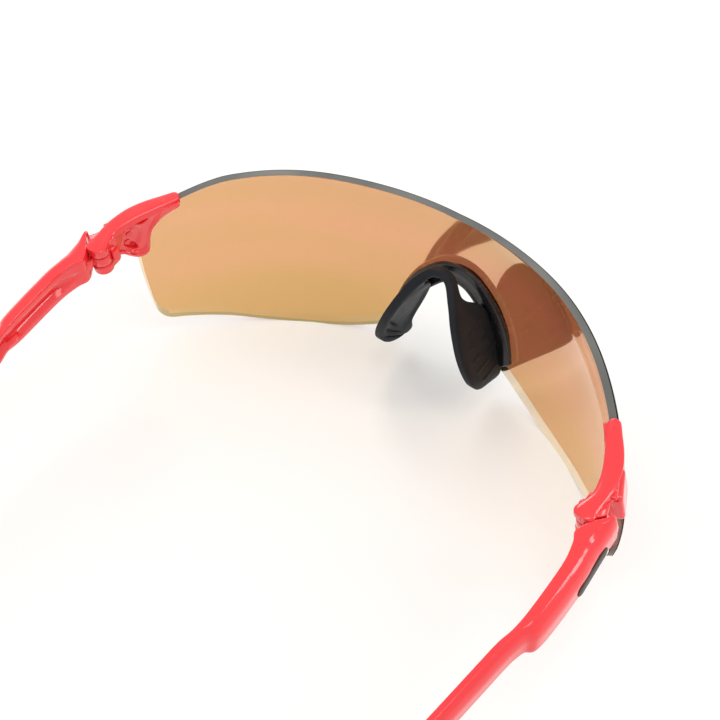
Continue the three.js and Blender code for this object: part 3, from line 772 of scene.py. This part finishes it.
def makeClip():
    c = clipShape
    path = c["half"] + [(-a, h) for a, h in reversed(c["half"][:-1])]

    def place(n, offset, w):
        point = curveAt(path, w)
        ahead = (curveAt(path, w + 0.004) - curveAt(path, w - 0.004)).normalized()
        foot = min(w, 1 - w) / c["footRound"]
        ends = math.sqrt(max(0.0, 1 - (1 - foot) ** 2)) if foot < 1 else 1
        n, offset = n * lerp(0.5, 1, ends), lerp(0.8, offset, lerp(0.6, 1, ends))
        return onLens(point[0] + ahead[1] * n, point[1] - ahead[0] * n, offset)
    bm = sweepRings(c["rings"], c["sides"], place, section=lambda f: polygonRing(c["section"], f))
    for _ in range(2):
        bmesh.ops.smooth_vert(bm, verts=bm.verts, factor=0.5, use_axis_x=True, use_axis_y=True,
                              use_axis_z=True)
    finishPiece(bm, "noseClip", [materials["carrier"]], "front", ["nose_carrier"],
                sharp=50)


makeClip()
print("nose clip made")

padShape = {
    "rings": 260, "sides": 96, "rounding": (0.4, 0.4, 0.85, 0.4),
    "backEdge": [(12.6, -57.4, 7), (12.4, -53.1, 12.6), (10.3, -51.4, 19.8), (7.5, -52.2, 27.2),
                 (5.1, -54.3, 32.4), (2.6, -56.4, 35.5), (0, -57.1, 36.3)],
    "width": [(0, 9.8), (0.1, 12.4), (0.25, 15.4), (0.38, 16), (0.5, 13.6), (0.57, 10.2), (0.63, 5.6),
              (0.7, 3.4), (0.85, 2.9), (1, 3.1)],
    "thickness": [(0, 2.7), (0.15, 3.0), (0.5, 2.9), (0.75, 2.2), (1, 2.1)],
    "endRound": 0.085, "dish": 0.8,
    "ridges": [((0.14, 4.2), (0.186, 11.0)), ((0.223, 4.0), (0.267, 11.8)), ((0.293, 3.9), (0.342, 12.2)),
               ((0.372, 4.2), (0.404, 11.0)), ((0.445, 5.1), (0.468, 9.7))],
    "ridgeHeight": 0.35, "ridgeHalf": 0.28,
    "grooves": [0.2, 0.29, 0.38], "grooveSlope": 0.026, "grooveDepth": 0.75, "grooveHalf": 0.45,
    "forward": Vector((0, -0.97, -0.24)).normalized(),
}


def makeSaddle():
    p = padShape
    width, thick = reader(p["width"]), reader(p["thickness"])
    edge = [curveAt(p["backEdge"], i / 200) for i in range(201)]
    halfLength = sum((a - b).length for a, b in zip(edge, edge[1:]))

    def relief(along, deep, v):
        # ridges on the face away from the nose; a dish and grooves near the tip on the face that touches it
        inside = smooth(deep, 0.6, 2.2) * (1 - smooth(deep, width(along) - 2.2, width(along) - 0.6))
        if v > 0:
            rise = 0
            for (a0, d0), (a1, d1) in p["ridges"]:
                t = min(1, max(0, (deep - d0) / (d1 - d0)))
                away = (along - lerp(a0, a1, t)) * halfLength
                ends = smooth(deep, d0 - 0.5, d0 + 0.3) * (1 - smooth(deep, d1 - 0.3, d1 + 0.5))
                rise += p["ridgeHeight"] * ends * math.exp(-(away / p["ridgeHalf"]) ** 2)
            return rise
        drop = p["dish"] * inside * smooth(along, 0.1, 0.25) * (1 - smooth(along, 0.42, 0.6))
        for groove in p["grooves"]:
            away = (along - groove + p["grooveSlope"] * deep) * halfLength
            near = 1 - smooth(deep, 5.5, 7.5)
            drop += p["grooveDepth"] * near * math.exp(-(away / p["grooveHalf"]) ** 2)
        return -drop

    def place(u, v, w):
        share = w * 2 if w < 0.5 else 2 - 2 * w
        side, along = (1 if w < 0.5 else -1), share ** 1.15
        point = curveAt(p["backEdge"], along)
        tangent = (curveAt(p["backEdge"], along + 0.005) - curveAt(p["backEdge"], along - 0.005)).normalized()
        across = -(Vector((1, 0, 0)).cross(tangent).cross(tangent))
        across = (across - p["forward"] * across.dot(p["forward"])).normalized()
        ends = 1
        if along < p["endRound"]:
            ends = math.sqrt(max(0, 1 - (1 - along / p["endRound"]) ** 2))
        reach = lerp(0.45, 1, ends)
        deep = width(along) * lerp(0.5, (u + 1) / 2, reach)
        bulk = thick(along) / 2 * lerp(0.3, 1, ends)
        point += p["forward"] * deep
        point += across * (bulk * v + relief(along, deep, v) * smooth(abs(v), 0.55, 1) * (1 if v > 0 else -1))
        return Vector((side * point.x, point.y, point.z))
    bm = sweepRings(p["rings"], p["sides"], place, p["rounding"])
    piece = finishPiece(bm, "noseSaddle", [materials["padRubber"]], "front", ["nose_pad"])


makeSaddle()
print("saddle made")

# small CAD parts that keep their shape
for node, look in [("hinge_pin", "steel"), ("lens_stud_upper", "red"), ("lens_stud_lower", "red")]:
    for word in sides:
        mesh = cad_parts[f"{node}_{word}"].data
        mesh.materials.clear()
        mesh.materials.append(materials[look])

stageLook = {
    "floorSize": 6, "floor": (0.70, 0.70, 0.69), "floorDrift": (0.70, 0.695, 0.685), "floorPatches": 2,
    "floorRough": 0.9, "floorSpecular": 0.1, "floorGlow": 0.22, "glowTone": (1, 1, 0.985),
    "world": (1.0, 1.0, 0.985), "worldStrength": 0.93,
}


def makeFloor():
    bm = bmesh.new()
    bmesh.ops.create_grid(bm, x_segments=2, y_segments=2, size=stageLook["floorSize"])
    mesh = bpy.data.meshes.new("floor")
    bm.to_mesh(mesh)
    bm.free()
    floor = bpy.data.objects.new("floor", mesh)
    bpy.context.scene.collection.objects.link(floor)
    material, tree, shader, where = startMaterial("paleTable")
    tones = placeGroup(tree, "tone", {"Vector": where, "Scale": stageLook["floorPatches"],
                                      "Tone": (*stageLook["floor"], 1),
                                      "Drift": (*stageLook["floorDrift"], 1)})
    tree.links.new(tones.outputs["Color"], shader.inputs["Base Color"])
    shader.inputs["Roughness"].default_value = stageLook["floorRough"]
    shader.inputs["Specular IOR Level"].default_value = stageLook["floorSpecular"]
    shader.inputs["Emission Color"].default_value = (*stageLook["glowTone"], 1)
    shader.inputs["Emission Strength"].default_value = stageLook["floorGlow"]
    mesh.materials.append(material)


softboxes = {
    "windowLight": {"location": (0.5, -0.55, 0.75), "target": (0, 0, 0.02), "size": (0.3, 0.5), "power": 2.2},
    "sideLight": {"location": (-0.42, -0.22, 0.42), "target": (0.03, -0.01, 0.03), "size": (0.1, 0.3),
                  "power": 0.5},
    "overheadLight": {"location": (-0.25, 0.1, 1.1), "target": (0, 0, 0.02), "size": (0.4, 0.4),
                      "power": 1.6},
}


def addSoftbox(name, location, target, size, power):
    light = bpy.data.lights.new(name, "AREA")
    light.shape = "RECTANGLE"
    light.size, light.size_y = size
    light.energy = power
    lamp = bpy.data.objects.new(name, light)
    lamp.location = location
    lamp.rotation_euler = (Vector(target) - Vector(location)).to_track_quat("-Z", "Y").to_euler()
    bpy.context.scene.collection.objects.link(lamp)


def makeWorld():
    world = bpy.data.worlds.new("softRoom")
    bpy.context.scene.world = world
    world.use_nodes = True
    background = world.node_tree.nodes["Background"]
    background.inputs["Color"].default_value = (*stageLook["world"], 1)
    background.inputs["Strength"].default_value = stageLook["worldStrength"]


makeFloor()
makeWorld()
for name, settings in softboxes.items():
    addSoftbox(name, **settings)

cameraSettings = {
    "location": (-0.14735, 0.18570, 0.30693), "turn": (44.7436, -2.4056, -144.6538), "lens": 89.246,
}
cameraData = bpy.data.cameras.new("camera")
cameraData.lens = cameraSettings["lens"]
cameraData.sensor_width = 36
cameraData.clip_start = 0.01
camera = bpy.data.objects.new("camera", cameraData)
camera.location = cameraSettings["location"]
camera.rotation_euler = [math.radians(a) for a in cameraSettings["turn"]]
bpy.context.scene.collection.objects.link(camera)
bpy.context.scene.camera = camera
bpy.context.scene.view_settings.view_transform = "Standard"
print("stage made")
